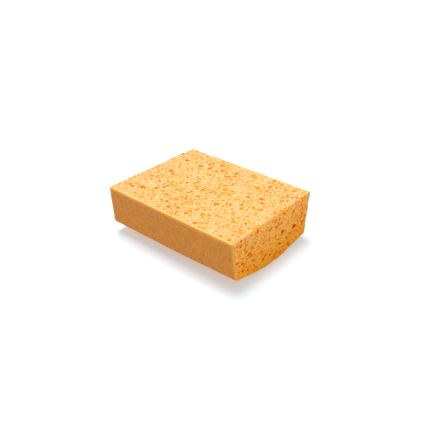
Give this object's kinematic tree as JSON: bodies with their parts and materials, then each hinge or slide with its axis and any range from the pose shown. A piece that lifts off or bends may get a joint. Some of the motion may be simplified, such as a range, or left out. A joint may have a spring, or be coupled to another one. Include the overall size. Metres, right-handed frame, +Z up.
{
  "type": "cellulose sponge block",
  "caption": "Rectangular block of open-pore cellulose sponge with smooth cast skins on its long sides and a gently crowned underside, for wiping grout by hand.",
  "frame": {"origin": "on the surface that the block rests on, under the middle of its box", "axes": "+X along the block, +Y across it from the front side to the rear side, +Z up from the crowned underside to the flat top"},
  "size_m": [0.14, 0.108, 0.0468],
  "materials": {
    "cellulose_foam": "matte",
    "cast_skin": "matte"
  },
  "bodies": {
    "root": {"foam_core": "cellulose_foam", "front_skin": "cast_skin", "rear_skin": "cast_skin"}
  },
  "joints": []
}
